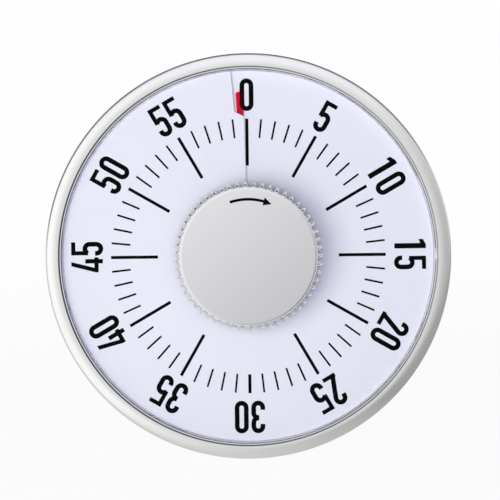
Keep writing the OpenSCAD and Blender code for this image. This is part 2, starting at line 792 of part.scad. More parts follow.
// Pin of the click with a thin bent blade that presses on the pawl's back
module click_spring() {
    base = [click_at[0] + 0.6, click_at[1] + 6];
    color("goldenrod") {
        translate([click_at[0], click_at[1], ratchet_z - wheel_t - 0.3])
            cylinder(r = click_pin_r, h = wheel_t + 0.6 + eps);
        translate([base[0], base[1], ratchet_z - wheel_t]) cylinder(r = 0.9, h = wheel_t + 0.3);
        translate([0, 0, ratchet_z - wheel_t + 0.3]) linear_extrude(0.4)
            polygon(band(concat([base], arc([click_at[0] + 3.6, click_at[1] + 3.4], 3.2, 130, 178, 6),
                [[click_at[0] + 0.2, click_at[1] + 1.7]]), 0.2));
    }
}

// Snail on the main arbor: one drop a turn lets the hammer fall at zero
module signal_cam() {
    n = 48;
    snail = [for (i = [0:n]) polar(cam_r - cam_drop * (1 - i / n), hammer_drop_a + 350 * i / n)];
    color("goldenrod") translate([0, 0, hammer_z]) linear_extrude(hammer_t) difference() {
        polygon(snail);
        circle(r = sleeve_r);
    }
}

// Flat spiral spring: the inner end lies by the arbor, the outer end at the barrel's wall
module mainspring() {
    n = 24 * spring_turns;
    out_r = barrel_r - wall_thin - spring_t;
    path = [for (i = [0:n]) polar(spring_in + (out_r - spring_in) * i / n, 15 * i)];
    color("steelblue") translate([0, 0, back_plate_z - barrel_deep + 1])
        linear_extrude(barrel_deep - 1.8) polygon(band(path, spring_t));
}

// Open cup that houses the spring, under the back plate
module spring_barrel() {
    color("gold") translate([0, 0, back_plate_z - barrel_deep]) difference() {
        cylinder(r = barrel_r, h = barrel_deep);
        translate([0, 0, wall_thin]) cylinder(r = barrel_r - wall_thin, h = barrel_deep);
        translate([0, 0, -1]) cylinder(r = arbor_r + run_fit, h = barrel_deep);
    }
}

// Round brass plate with a bearing hole for every arbor
module movement_plate() {
    color("gold") linear_extrude(plate_t) difference() {
        circle(r = plate_r, $fn = 180);
        circle(r = bush_r + 1);
        for (p = [second_at, third_at, escape_at, pallet_at, hammer_at])
            translate(p) circle(r = bush_small_r);
        for (a = pillar_angles) translate(polar(pillar_at, a)) circle(r = pillar_screw_r);
        for (a = foot_angles) translate(polar(foot_at, a)) circle(r = pillar_screw_r);
    }
}

module movement_front_plate() {
    translate([0, 0, front_plate_z]) movement_plate();
}

module movement_back_plate() {
    translate([0, 0, back_plate_z]) movement_plate();
}

// Pillars that hold the plates apart, bored for their screws
module plate_pillars() {
    color("gold") for (a = pillar_angles) at_polar(pillar_at, a, space_z)
        ring(pillar_r, pillar_screw_r, front_plate_z - space_z);
}

// Long screws from the back plate through the pillars into the front plate
module pillar_screws() {
    color("gray") for (a = pillar_angles) at_polar(pillar_at, a, back_plate_z)
        slotted_screw(pillar_screw_r, front_plate_z + plate_t - back_plate_z, pillar_r + 0.2, 1.2);
}

// Short posts between the front plate and the carrier plate
module movement_spacers() {
    color("gold") for (a = foot_angles) at_polar(foot_at, a, front_plate_z + plate_t)
        ring(post_r, pillar_screw_r, housing_depth - front_plate_z - plate_t);
}

// Screws that hang the movement from the carrier plate, heads under the front plate
module movement_screws() {
    color("gray") for (a = foot_angles) at_polar(foot_at, a, front_plate_z)
        slotted_screw(pillar_screw_r, housing_depth + carrier_t - front_plate_z - 0.3,
            pillar_screw_r + 0.9, 0.9);
}

// Bronze bearings pressed into both plates
module arbor_bushings() {
    color("peru") for (z = [back_plate_z, front_plate_z]) translate([0, 0, z]) {
        ring(bush_r + 1, arbor_r + run_fit, plate_t);
        for (p = [second_at, third_at, escape_at, pallet_at, hammer_at])
            translate(p) ring(bush_small_r, pivot_r + run_fit, plate_t);
    }
}

module second_wheel() {
    translate([second_at[0], second_at[1], second_z]) rotate([0, 0, third_from])
        train_wheel(wheel_teeth, module_b, 3, fine_r);
}

// Pinion and arbor of the second wheel, driven by the main wheel
module second_pinion() {
    fine_arbor(second_at);
    translate([second_at[0], second_at[1], wheel_z - wheel_t - pinion_drop])
        rotate([0, 0, second_pinion_a])
            train_pinion(module_a, pinion_len, fine_r - eps);
}

module third_wheel() {
    translate([third_at[0], third_at[1], third_z]) rotate([0, 0, escape_from])
        train_wheel(wheel_teeth, module_c, 3, fine_r);
}

// Pinion and arbor of the third wheel, driven by the second wheel
module third_pinion() {
    fine_arbor(third_at);
    translate([third_at[0], third_at[1], second_z - pinion_drop])
        rotate([0, 0, third_pinion_a])
            train_pinion(module_b, pinion_len, fine_r - eps);
}

module escape_wheel() {
    translate([escape_at[0], escape_at[1], escape_z]) color("gold") linear_extrude(wheel_t)
        difference() {
            polygon(saw_outline(escape_teeth, escape_r, escape_r - 1.6));
            circle(r = fine_r);
        }
}

// Pinion and arbor of the escape wheel, driven by the third wheel
module escape_pinion() {
    fine_arbor(escape_at);
    translate([escape_at[0], escape_at[1], third_z - pinion_drop]) rotate([0, 0, escape_pinion_a])
        train_pinion(module_c, pinion_len, fine_r - eps);
}

// Pallets: two arms that reach round the escape wheel, just outside its teeth
module pallet_lever() {
    reach = escape_r + 1.2;
    color("slategray") translate([0, 0, escape_z]) linear_extrude(wheel_t) difference() {
        union() {
            translate(pallet_at) circle(r = 1.8);
            for (s = [-1, 1]) polygon(band([pallet_at,
                escape_at + polar(reach + 1, pallet_from + s * 44),
                escape_at + polar(reach, pallet_from + s * 58)], 1));
        }
        translate(pallet_at) circle(r = fine_r);
    }
}

module pallet_arbor() {
    fine_arbor(pallet_at);
}

// Bar across the pallet arbor whose inertia sets the beat
module inertia_bar() {
    l = 13;
    color("gray") translate([pallet_at[0], pallet_at[1], escape_z + wheel_t + 1.4])
        rotate([0, 0, pallet_from + 90]) linear_extrude(1.2) difference() {
            union() {
                square([l, 1.6], center = true);
                for (s = [-1, 1]) translate([s * (l / 2 - 0.6), 0]) circle(r = 1.7);
                circle(r = 1.8);
            }
            circle(r = fine_r);
        }
}

// Hammer arm: a tail over the cam and a long arm to the head beside the bell
module hammer_arm() {
    tail = hammer_at - unit(hammer_at) * (norm(hammer_at) - cam_r - 0.5);
    head = hammer_at + polar(arm_len, arm_a);
    color("slategray") translate([0, 0, hammer_z]) linear_extrude(hammer_t) difference() {
        union() {
            polygon(band([tail, hammer_at], 1.6));
            polygon(band([hammer_at, head], 2));
            translate(hammer_at) circle(r = 2.4);
            translate(head) circle(r = 1.8);
        }
        translate(hammer_at) circle(r = fine_r);
        translate(head) circle(r = 0.9);
    }
}

module hammer_arbor() {
    fine_arbor(hammer_at);
}

module hammer_head() {
    head = hammer_at + polar(arm_len, arm_a);
    color("goldenrod") translate(head) {
        translate([0, 0, hammer_z]) cylinder(r = 0.9, h = hammer_t + eps);
        translate([0, 0, hammer_z + hammer_t]) cylinder(r = head_r, h = 3);
    }
}

// Coil round the hammer arbor that pulls the hammer to the bell
module hammer_spring() {
    coils = 4;
    wire = 0.25;
    z = hammer_z + hammer_t + 0.6;
    color("steelblue") translate([hammer_at[0], hammer_at[1], z]) rotate_extrude()
        polygon(concat([[1.2, 0], [1.6, 0]],
            [for (i = [0:coils * 8]) [1.6 + wire * abs(sin(22.5 * i)), wire * i / 4]],
            [[1.6, coils * wire * 2], [1.2, coils * wire * 2]]));
}

// Steel bell: a shallow cup, open to the back
module bell() {
    r = bell_r;
    t = bell_t;
    top = bell_h;
    bend = 4;
    outer = [for (i = [0:8]) let (a = 90 * i / 8)
        [r - bend + bend * cos(a), top - bend + bend * sin(a)]];
    inner = [for (i = [8:-1:0]) let (a = 90 * i / 8, k = bend - t)
        [r - bend + k * cos(a), top - bend + k * sin(a)]];
    color("silver") translate([bell_at[0], bell_at[1], bell_z]) rotate_extrude()
        polygon(concat([[r, 0]], outer, [[pillar_screw_r, top], [pillar_screw_r, top - t]], inner,
            [[r - t, 0]]));
}

// Post that hangs the bell from the carrier plate
module bell_post() {
    color("gold") translate([bell_at[0], bell_at[1], bell_z + bell_h])
        ring(post_r, pillar_screw_r, housing_depth - bell_z - bell_h);
}

module bell_screw() {
    z = bell_z + bell_h - bell_t;
    color("gray") translate([bell_at[0], bell_at[1], z])
        slotted_screw(pillar_screw_r, housing_depth + carrier_t - z - 0.3, post_r, 1.2);
}

// ---- Stand ----

// Leg of the stand: a tapered plate with a knuckle round the pin and a heel that meets the back
// wall when the leg is open
module stand_leg() {
    neck = knuckle_r + 3;
    color("whitesmoke") difference() {
        union() {
            rotate([90, 0, 0]) translate([0, 0, -leg_t / 2]) linear_extrude(leg_t)
                polygon([[-leg_top_w / 2, 0], [leg_top_w / 2, 0], [leg_top_w / 2, -neck],
                    [leg_foot_w / 2, 14 - leg_len], [leg_foot_w / 2, leg_end],
                    [-leg_foot_w / 2, leg_end], [-leg_foot_w / 2, 14 - leg_len],
                    [-leg_top_w / 2, -neck]]);
            translate([-leg_top_w / 2, 0, 0]) rotate([0, 90, 0])
                cylinder(r = knuckle_r, h = leg_top_w);
            translate([-leg_top_w / 2, -heel_t / 2, 0]) cube([leg_top_w, heel_t, heel_l]);
        }
        translate([-leg_top_w, 0, 0]) rotate([0, 90, 0])
            cylinder(r = pin_r + run_fit, h = 2 * leg_top_w);
    }
}

module stand_pin() {
    l = leg_top_w + 2 * (ear_gap + ear_t);
    color("gray") translate([0, rest_y + hinge_yw, hinge_zw]) rotate([0, 90, 0])
        cylinder(r = pin_r, h = l, center = true);
}

// Two rubber shoes on the leg's corners, with flat soles on the floor when the leg is open
module stand_feet() {
    color("dimgray") for (s = [-1, 1]) difference() {
        translate([s * (leg_foot_w / 2 - shoe[0] / 2 + 1.5) - shoe[0] / 2,
            rest_y + shoe_y - shoe[1] / 2, 0]) cube(shoe);
        leg_frame() rotate([90, 0, 0]) translate([0, 0, -leg_t / 2]) linear_extrude(leg_t)
            translate([-leg_foot_w / 2, leg_end]) square([leg_foot_w, 30]);
    }
}

leaned() bezel();
leaned() lens_retaining_ring();
leaned() lens();
leaned() dial_seat_ring();
leaned() dial_ramp();
leaned() dial();
leaned() dial_numerals();
leaned() minute_marks();
leaned() carrier_plate();
leaned() rear_housing();
leaned() case_screws();
leaned() magnets();
leaned() knob_body();
leaned() knob_face();
leaned() knob_arrow();
leaned() disc_hub();
leaned() red_disc();
leaned() disc_tab();
leaned() main_arbor();
leaned() main_wheel();
leaned() ratchet_wheel();
leaned() click_pawl();
leaned() click_spring();
leaned() signal_cam();
leaned() mainspring();
leaned() spring_barrel();
leaned() movement_front_plate();
leaned() movement_back_plate();
leaned() plate_pillars();
leaned() pillar_screws();
leaned() movement_spacers();
leaned() movement_screws();
leaned() arbor_bushings();
leaned() second_wheel();
leaned() second_pinion();
leaned() third_wheel();
leaned() third_pinion();
leaned() escape_wheel();
leaned() escape_pinion();
leaned() pallet_lever();
leaned() pallet_arbor();
leaned() inertia_bar();
leaned() hammer_arm();
leaned() hammer_arbor();
leaned() hammer_head();
leaned() hammer_spring();
leaned() bell();
leaned() bell_post();
leaned() bell_screw();
leg_frame() stand_leg();
stand_pin();
stand_feet();
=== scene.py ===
# %% [markdown]
# A wind-up visual timer: a white dial under a clear lens in a round silver bezel, a knurled knob
# in the middle, and a red film that comes out of a slit in the dial as the knob is turned.
# The working model is loaded first as a fixed frame. Everything here is finish: surfaces that are
# finer than the working solids, and a material for every piece.

# %% Load the frame
import json
import math

import bpy
import numpy as np
from mathutils import Matrix


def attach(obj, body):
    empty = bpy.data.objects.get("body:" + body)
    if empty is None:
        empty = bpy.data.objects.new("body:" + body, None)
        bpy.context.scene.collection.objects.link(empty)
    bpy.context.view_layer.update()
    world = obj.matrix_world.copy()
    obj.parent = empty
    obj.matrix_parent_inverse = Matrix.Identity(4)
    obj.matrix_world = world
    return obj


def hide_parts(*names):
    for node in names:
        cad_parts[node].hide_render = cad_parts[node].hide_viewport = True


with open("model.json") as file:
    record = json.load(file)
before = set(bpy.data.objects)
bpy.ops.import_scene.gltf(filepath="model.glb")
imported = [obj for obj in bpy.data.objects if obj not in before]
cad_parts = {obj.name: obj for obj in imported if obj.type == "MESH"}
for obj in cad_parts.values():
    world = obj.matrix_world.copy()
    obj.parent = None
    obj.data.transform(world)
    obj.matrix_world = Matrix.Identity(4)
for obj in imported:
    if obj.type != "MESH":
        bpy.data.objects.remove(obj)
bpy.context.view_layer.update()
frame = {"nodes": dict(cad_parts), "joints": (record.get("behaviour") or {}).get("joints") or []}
NODES = frame["nodes"]
MM = 0.001
print("nodes:", len(NODES))

# %% [markdown]
# The timer leans back, so straight world axes are awkward for it. The knob's joint gives the line
# through the middle of the dial. From it comes a frame of the timer's own: x to the right, y up
# the dial, z towards the user, in millimetres, with its origin on the axis at the knob's joint.

# %% The timer's own axes
knob_joint = next(j for j in frame["joints"] if j["name"] == "knob_turn")
AXIS_Z = -np.array(knob_joint["axis"], float)
AXIS_Z /= np.linalg.norm(AXIS_Z)
AXIS_X = np.array([1.0, 0.0, 0.0])
AXIS_Y = np.cross(AXIS_Z, AXIS_X)
ORIGIN = np.array(knob_joint["pos_m"], float)
LEAN = math.degrees(math.asin(AXIS_Z[2]))


def place(points):
    """Points of the timer's own frame, in mm, as points of the world, in metres."""
    p = np.asarray(points, float) * MM
    return ORIGIN + p[:, :1] * AXIS_X + p[:, 1:2] * AXIS_Y + p[:, 2:3] * AXIS_Z


def node_points(name):
    """The corners of a CAD node in the timer's own frame, in mm."""
    mesh = NODES[name].data
    co = np.zeros(len(mesh.vertices) * 3)
    mesh.vertices.foreach_get("co", co)
    d = (co.reshape(-1, 3) - ORIGIN) / MM
    return np.stack([d @ AXIS_X, d @ AXIS_Y, d @ AXIS_Z], axis=1)


def depth_of(name):
    """How far back and how far forward a node reaches."""
    z = node_points(name)[:, 2]
    return float(z.min()), float(z.max())


def radius_of(name):
    """The smallest and the largest radius of a node's corners round the axis."""
    p = node_points(name)
    r = np.hypot(p[:, 0], p[:, 1])
    return float(r.min()), float(r.max())


BEZEL_BACK, BEZEL_FRONT = depth_of("bezel")
FLANGE_R, CASE_R = radius_of("bezel")
DIAL_LOW, DIAL_HIGH = depth_of("dial")
DIAL_HOLE_R, DIAL_R = radius_of("dial")
print("lean", round(LEAN, 2), "case radius", round(CASE_R, 2), "dial radius", round(DIAL_R, 2))

# %% [markdown]
# Colours are written as sRGB hex, as a paint card or a screen shows them. Cycles wants linear
# light, so one function converts them.

# %% Colours


def tint(code):
    """An sRGB hex colour as linear RGBA: the sRGB curve undone for each channel."""
    c = np.array([int(code[i:i + 2], 16) for i in (1, 3, 5)]) / 255
    linear = np.where(c <= 0.04045, c / 12.92, ((c + 0.055) / 1.055) ** 2.4)
    return (*[float(v) for v in linear], 1.0)


print("mid grey #808080 in linear light:", round(tint("#808080")[0], 3))

# %% [markdown]
# One small function adds a shader node, sets its sockets and links them, which keeps each
# material short. The others start a material, give it to working solids, spread a noise over a
# range, and turn coordinates to the timer's own axes. A noise's values lie mostly between the
# two that are named here.

# %% Node helpers
NOISE_LOW, NOISE_HIGH = 0.3, 0.7


def add(tree, kind, settings=None, **sockets):
    """Adds a node. settings are its properties; sockets are named values or links."""
    node = tree.nodes.new(kind)
    for key, value in (settings or {}).items():
        setattr(node, key, value)
    for key, value in sockets.items():
        socket = node.inputs[int(key[1:])] if key[0] == "i" and key[1:].isdigit() else \
            node.inputs[key.replace("_", " ")]
        if isinstance(value, bpy.types.NodeSocket):
            tree.links.new(value, socket)
        else:
            socket.default_value = value
    return node


def new_material(name):
    """An empty material with its output node."""
    mat = bpy.data.materials.new(name)
    mat.use_nodes = True
    mat.node_tree.nodes.clear()
    out = mat.node_tree.nodes.new("ShaderNodeOutputMaterial")
    return mat, mat.node_tree, out


def dress(mat, *names):
    """Gives CAD nodes a material."""
    for name in names:
        mesh = NODES[name].data
        mesh.materials.clear()
        mesh.materials.append(mat)


def dial_coordinates(tree):
    """Object coordinates turned into the timer's own axes, in metres from the knob's joint."""
    at = add(tree, "ShaderNodeTexCoord").outputs["Object"]
    moved = add(tree, "ShaderNodeVectorMath", {"operation": "SUBTRACT"}, i0=at,
                i1=tuple(float(v) for v in ORIGIN))
    turn = add(tree, "ShaderNodeVectorRotate", {"rotation_type": "X_AXIS"},
               Vector=moved.outputs[0], Angle=-math.radians(90 - LEAN))
    return turn.outputs[0]


def spread(tree, noise, low, high):
    """A noise's usual values, spread evenly from one value to another."""
    return add(tree, "ShaderNodeMapRange", Value=noise.outputs["Fac"], i1=NOISE_LOW,
               i2=NOISE_HIGH, i3=low, i4=high).outputs["Result"]


print("shader axes turned by", round(90 - LEAN, 2), "degrees")

# %% [markdown]
# Where two rings meet there is a narrow seam. Its shade is painted: a dark line drawn in the
# metal's colour at a fixed radius. The painted shade is deepest on the left and lighter on the
# right. A seam is given by its radius and half width in mm, and by the share of its painted shade
# that is left on the right.

# %% Painted shade in the seams between the rings
# Painted shade: the side where it is deepest, and what the metal's colour is multiplied by in a
# seam.
SEAM_SHADE_SIDE = (-0.94, -0.34, 0)
SEAM_SHADE = (0.17, 0.17, 0.24)
BORE_SHADE_LINE = (69.98, 0.42, 0.3)
WIRE_SHADE_LINE = (69.1, 0.34, 1.0)


def painted_seam_shade(tree, seams):
    """1 on open metal, less in a seam's painted shade: the distance from the seam's radius,
    divided by its half width, decides. The painted shade deepens evenly from the right to the
    left."""
    at = dial_coordinates(tree)
    flat = add(tree, "ShaderNodeVectorMath", {"operation": "MULTIPLY"}, i0=at, i1=(1, 1, 0))
    r = add(tree, "ShaderNodeVectorMath", {"operation": "LENGTH"},
            i0=flat.outputs[0]).outputs["Value"]
    across = add(tree, "ShaderNodeVectorMath", {"operation": "DOT_PRODUCT"}, i0=at,
                 i1=SEAM_SHADE_SIDE).outputs["Value"]
    mask = 1.0
    for radius, half, lit_side_share in seams:
        off = add(tree, "ShaderNodeMath", {"operation": "SUBTRACT"}, i0=r, i1=radius * MM)
        off = add(tree, "ShaderNodeMath", {"operation": "ABSOLUTE"}, i0=off.outputs[0])
        darkest = add(tree, "ShaderNodeMapRange", Value=across, i1=-CASE_R * MM,
                      i2=CASE_R * MM, i3=1.0 - lit_side_share, i4=0.0)
        clear = add(tree, "ShaderNodeMapRange", {"interpolation_type": "SMOOTHSTEP"},
                    Value=off.outputs[0], i1=half * MM * 0.5, i2=half * MM,
                    i3=darkest.outputs["Result"], i4=1.0)
        mask = add(tree, "ShaderNodeMath", {"operation": "MULTIPLY"}, i0=mask,
                   i1=clear.outputs["Result"]).outputs[0]
    return mask


# The side printed is where the painted seam shade is deepest.
print("seams open towards", SEAM_SHADE_SIDE)

# %% [markdown]
# Satin anodised aluminium is blasted with fine beads before it is anodised, so it reflects in a
# soft, even way with no brush lines. A metallic surface with medium roughness does that. Two
# noises add what the eye expects: a very fine grain that breaks up the highlight, and a slow
# unevenness of the sheen. The real grain is about 0.05 mm, too fine to show, so it is drawn as
# coarse as a pixel of a close view needs.

# %% Blasted metals
BLASTED_SHEEN_MM = 9


def blasted_metal(name, colour, roughness=0.36, grain_mm=0.12, depth=0.02, uneven=0.05,
                  seams=()):
    """Bead-blasted metal: grain bump, roughness that wanders slowly, and painted shade in the
    seams.
    """
    mat, tree, out = new_material(name)
    at = add(tree, "ShaderNodeTexCoord").outputs["Object"]
    grain = add(tree, "ShaderNodeTexNoise", Vector=at, Scale=1 / (grain_mm * MM), Detail=2.0)
    slow = add(tree, "ShaderNodeTexNoise", Vector=at, Scale=1 / (BLASTED_SHEEN_MM * MM),
               Detail=3.0)
    bump = add(tree, "ShaderNodeBump", Height=grain.outputs["Fac"], Strength=0.25,
               Distance=depth * MM)
    shader = add(tree, "ShaderNodeBsdfPrincipled", Base_Color=tint(colour), Metallic=1.0,
                 Roughness=spread(tree, slow, roughness - uneven, roughness + uneven),
                 Normal=bump.outputs["Normal"])
    # Painted shade: the seams darken the metal's colour.
    if seams:
        shade = tuple(v * g for v, g in zip(tint(colour)[:3], SEAM_SHADE)) + (1.0,)
        tone = add(tree, "ShaderNodeMix", {"data_type": "RGBA"}, i0=painted_seam_shade(tree, seams),
                   i6=shade, i7=tint(colour))
        tree.links.new(tone.outputs[2], shader.inputs["Base Color"])
    tree.links.new(shader.outputs[0], out.inputs["Surface"])
    return mat


# The bezel and the wire ring carry painted shade in their seams.
satin_bezel = blasted_metal("satin_anodised_aluminium", "#eeeeec", roughness=0.22,
                            uneven=0.03, seams=[BORE_SHADE_LINE])
satin_knob = blasted_metal("satin_nickel_knurl", "#f0f0f0", roughness=0.2)
bright_wire = blasted_metal("drawn_aluminium_wire", "#f2f2f2", roughness=0.24, depth=0.008,
                            seams=[WIRE_SHADE_LINE, BORE_SHADE_LINE])
print(satin_bezel.name, satin_knob.name, bright_wire.name)

# %% [markdown]
# The face plate is faced on a lathe. The tool leaves very shallow rings round the axis, which
# keep the plate from looking like plastic. They are drawn about 1.9 mm apart, wider than a real
# tool's. The plate also carries a painted sheen: its colour is lighter towards the upper left, on
# the lit side, and darker towards the lower right. Blender's ring wave turns by 20 radians for
# each unit of length.

# %% Turned metal
WAVE_RADIANS = 20
RADIAN_MM = 0.3
TURNED_SHEEN_MM = 14
# The side towards which the painted sheen gets lighter: the upper left.
PAINTED_SHEEN_SIDE = (-0.6, 0.8, 0)


def turned_metal(name, light, dark, across_mm, roughness, depth=0.004):
    """Faced on a lathe: shallow rings round the axis, and a painted sheen that is lighter on one
    side of the plate. The wave turns by one radian every RADIAN_MM, so the rings lie 2 pi times
    that apart."""
    mat, tree, out = new_material(name)
    at = dial_coordinates(tree)
    rings = add(tree, "ShaderNodeTexWave", {"wave_type": "RINGS", "rings_direction": "Z"},
                Vector=at, Scale=1 / (RADIAN_MM * MM) / WAVE_RADIANS, Distortion=0.6,
                Detail=2.0, Detail_Scale=0.5)
    slow = add(tree, "ShaderNodeTexNoise", Vector=at, Scale=1 / (TURNED_SHEEN_MM * MM),
               Detail=3.0)
    bump = add(tree, "ShaderNodeBump", Height=rings.outputs["Fac"], Strength=0.3,
               Distance=depth * MM)
    # Painted sheen: the plate's colour goes from dark to light towards the upper left.
    across = add(tree, "ShaderNodeVectorMath", {"operation": "DOT_PRODUCT"}, i0=at,
                 i1=PAINTED_SHEEN_SIDE).outputs["Value"]
    painted_sheen = add(tree, "ShaderNodeMapRange", Value=across, i1=-across_mm * MM,
                i2=across_mm * MM, i3=0.0, i4=1.0)
    tone = add(tree, "ShaderNodeMix", {"data_type": "RGBA"}, i0=painted_sheen.outputs["Result"],
               i6=tint(dark), i7=tint(light))
    shader = add(tree, "ShaderNodeBsdfPrincipled", Base_Color=tone.outputs[2], Metallic=1.0,
                 Roughness=spread(tree, slow, roughness - 0.03, roughness + 0.04),
                 Normal=bump.outputs["Normal"])
    tree.links.new(shader.outputs[0], out.inputs["Surface"])
    return mat


# The light and the dark colour are the two ends of the painted sheen.
face_plate = turned_metal("turned_aluminium_face", "#f6f6f8", "#dddddf", 24, roughness=0.34)
print(face_plate.name)

# %% [markdown]
# The moulded and printed parts. The housing is ABS with the fine texture that a spark-eroded
# mould leaves, which hides fingerprints. The dial is a smooth white sheet, a little blue, with a
# trace of paper-like mottle. Ink lies on it as a thin matt layer with slightly uneven density.

# %% Plastics, ink and rubber
MOTTLE_MM = 22


def moulded(name, colour, roughness=0.45, grain_mm=0.35, depth=0.03, mottle=0.02, gloss=0.5):
    """A moulded surface: texture bump, and colour that varies by a few percent."""
    mat, tree, out = new_material(name)
    at = add(tree, "ShaderNodeTexCoord").outputs["Object"]
    grain = add(tree, "ShaderNodeTexNoise", Vector=at, Scale=1 / (grain_mm * MM), Detail=3.0)
    slow = add(tree, "ShaderNodeTexNoise", Vector=at, Scale=1 / (MOTTLE_MM * MM), Detail=4.0)
    base = tint(colour)
    dark = tuple(v * (1 - mottle) for v in base[:3]) + (1.0,)
    mix = add(tree, "ShaderNodeMix", {"data_type": "RGBA"}, i0=slow.outputs["Fac"], i6=dark,
              i7=base)
    bump = add(tree, "ShaderNodeBump", Height=grain.outputs["Fac"], Strength=0.4,
               Distance=depth * MM)
    shader = add(tree, "ShaderNodeBsdfPrincipled", Base_Color=mix.outputs[2],
                 Roughness=spread(tree, grain, roughness - 0.04, roughness + 0.04),
                 Specular_IOR_Level=gloss, Normal=bump.outputs["Normal"])
    tree.links.new(shader.outputs[0], out.inputs["Surface"])
    return mat


white_sheet = moulded("white_printed_sheet", "#ececf6", roughness=0.55, grain_mm=0.5,
                      depth=0.004, mottle=0.012)
white_abs = moulded("white_abs", "#eaeaf2", roughness=0.5, mottle=0.02)
housing_abs = moulded("silver_grey_abs", "#dbdad0", roughness=0.42)
ink = moulded("screen_print_ink", "#050506", roughness=0.8, grain_mm=0.3, depth=0.006,
              mottle=0.25, gloss=0.04)
rubber = moulded("moulded_rubber", "#262627", roughness=0.75, grain_mm=0.6, depth=0.05,
                 mottle=0.15)
print(white_sheet.name, white_abs.name, housing_abs.name, ink.name, rubber.name)

# %% [markdown]
# The countdown disc is a red film. Such a film works like a colour filter: light goes through it,
# is reflected by the white dial under it and comes back red, while black print stays dark. So the
# material is mostly a transparent shader with a red tint, and a smaller part is a red surface
# with a satin gloss, which gives the film its slightly milky body.

# %% Red filter material
FILM_CLOUD_MM = 30


def filter_film(name, passed, body, share):
    """A tinted transparent sheet with a share of coloured, glossy surface."""
    mat, tree, out = new_material(name)
    at = add(tree, "ShaderNodeTexCoord").outputs["Object"]
    slow = add(tree, "ShaderNodeTexNoise", Vector=at, Scale=1 / (FILM_CLOUD_MM * MM), Detail=3.0)
    light, deep = tint(body), tuple(v * 0.9 for v in tint(body)[:3]) + (1.0,)
    mix = add(tree, "ShaderNodeMix", {"data_type": "RGBA"}, i0=slow.outputs["Fac"], i6=deep,
              i7=light)
    surface = add(tree, "ShaderNodeBsdfPrincipled", Base_Color=mix.outputs[2], Roughness=0.3)
    window = add(tree, "ShaderNodeBsdfTransparent", Color=tint(passed))
    both = add(tree, "ShaderNodeMixShader", i0=share, i1=window.outputs[0],
               i2=surface.outputs[0])
    tree.links.new(both.outputs[0], out.inputs["Surface"])
    return mat


red_film = filter_film("red_filter_film", "#fa90b0", "#d0142e", 0.03)
red_hub = moulded("red_moulded_hub", "#b8182c", roughness=0.35)
print(red_film.name, red_hub.name)

# %% [markdown]
# The lens is a flat sheet of clear acrylic in front of the dial. Seen straight on it almost
# disappears: it only adds a weak gloss. A full glass shader would keep the lamps' light off the
# dial, so the sheet is a nearly open surface with a polished coat instead.

# %% Clear lens
ACRYLIC_IOR = 1.49
WEAR_MM = 12


def clear_sheet(name, cover):
    """Polished clear acrylic: mostly open, with a faint gloss that fine scratches break."""
    mat, tree, out = new_material(name)
    at = add(tree, "ShaderNodeTexCoord").outputs["Object"]
    wear = add(tree, "ShaderNodeTexNoise", Vector=at, Scale=1 / (WEAR_MM * MM), Detail=6.0)
    gloss = add(tree, "ShaderNodeBsdfPrincipled", Base_Color=(0.05, 0.05, 0.05, 1),
                IOR=ACRYLIC_IOR, Roughness=spread(tree, wear, 0.04, 0.08))
    window = add(tree, "ShaderNodeBsdfTransparent", Color=(1, 1, 1, 1))
    both = add(tree, "ShaderNodeMixShader", i0=cover, i1=window.outputs[0], i2=gloss.outputs[0])
    tree.links.new(both.outputs[0], out.inputs["Surface"])
    return mat


acrylic = clear_sheet("clear_acrylic", 0.012)
print(acrylic.name)

# %% [markdown]
# The movement is closed in by the housing, but every piece still has its own finish: stamped
# brass, turned and hardened steel, blued springs, nickel plating and sintered bronze.

# %% Metals of the movement
brass = blasted_metal("stamped_brass", "#d9b565", roughness=0.3)
hard_steel = blasted_metal("hardened_steel", "#a8aab0", roughness=0.28)
blued_steel = blasted_metal("blued_spring_steel", "#56617a", roughness=0.3)
zinc_steel = blasted_metal("zinc_plated_steel", "#b4b4b6", roughness=0.33)
nickel = blasted_metal("nickel_plate", "#cfccc6", roughness=0.18, depth=0.01)
bronze = blasted_metal("sintered_bronze", "#b07f4c", roughness=0.45)
mill_sheet = blasted_metal("mill_finish_sheet", "#c8c8c8", roughness=0.42)

dress(brass, "main_wheel", "second_wheel", "third_wheel", "escape_wheel", "spring_barrel",
      "movement_front_plate", "movement_back_plate", "plate_pillars", "movement_spacers",
      "bell_post", "signal_cam", "click_spring", "hammer_head")
dress(hard_steel, "main_arbor", "ratchet_wheel", "click_pawl", "second_pinion", "third_pinion",
      "escape_pinion", "pallet_lever", "pallet_arbor", "inertia_bar", "hammer_arm",
      "hammer_arbor")
dress(blued_steel, "mainspring", "hammer_spring")
dress(zinc_steel, "case_screws", "pillar_screws", "movement_screws", "bell_screw", "stand_pin")
dress(nickel, "bell", "magnets")
dress(bronze, "arbor_bushings")
dress(mill_sheet, "carrier_plate")
dress(white_abs, "dial_seat_ring", "dial_ramp")
dress(ink, "dial_numerals", "minute_marks", "knob_arrow")
dress(housing_abs, "rear_housing", "stand_leg")
dress(rubber, "stand_feet")
dress(red_hub, "disc_hub")
dress(red_film, "disc_tab")
dress(acrylic, "lens")
print("materials:", len(bpy.data.materials))

# %% [markdown]
# Most new surfaces here are grids: rows of points joined into four-sided faces. One function
# turns a grid of any shape into a mesh. It can close the grid round the turn, and round the
# profile, and it caps open ends with a fan. Points stay whole arrays all the way.

# %% Grids to meshes


def grid_faces(rows, cols, close_rows, close_cols):
    """Four-sided faces between neighbouring points of a grid, wrapping where it is closed."""
    i, j = np.meshgrid(np.arange(rows if close_rows else rows - 1),
                       np.arange(cols if close_cols else cols - 1), indexing="ij")
    i2, j2 = (i + 1) % rows, (j + 1) % cols
    return np.stack([i * cols + j, i2 * cols + j, i2 * cols + j2, i * cols + j2],
                    axis=-1).reshape(-1, 4)


